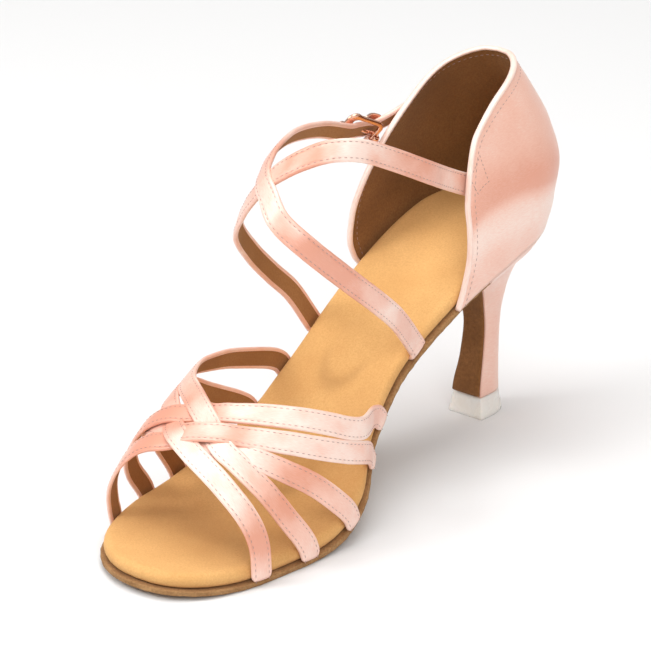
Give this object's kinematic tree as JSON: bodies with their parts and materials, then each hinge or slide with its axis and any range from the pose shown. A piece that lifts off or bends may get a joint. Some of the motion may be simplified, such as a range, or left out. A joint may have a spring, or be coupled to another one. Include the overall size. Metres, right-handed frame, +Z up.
{
  "type": "latin dance shoe",
  "caption": "Open-toe Latin dance sandal for the right foot: woven satin vamp straps, closed heel counter, crossed instep strap with buckle, and a slim flared heel.",
  "frame": {"origin": "middle of the footprint, on the floor that the sole and the heel stand on", "axes": "the toe points along -Y, +X is the inner (big-toe) side of this right shoe, +Z is up"},
  "size_m": [0.081, 0.226, 0.1411],
  "materials": {
    "satin": "blush satin over a thin backing, with a soft sheen",
    "suede": "tan suede, matt",
    "sole_leather": "brown split leather with a rough nap",
    "clear_cap": "milky clear plastic",
    "rose_metal": "polished rose-coloured plating"
  },
  "bodies": {
    "root": {"insole": "suede", "outsole": "sole_leather", "heel": "satin", "heel_cap": "clear_cap", "counter": "satin", "vamp_straps": "satin", "cross_strap": "satin", "buckle_frame": "rose_metal", "buckle_pin": "rose_metal", "buckle_hook": "rose_metal", "hook_loop": "satin"}
  },
  "joints": []
}
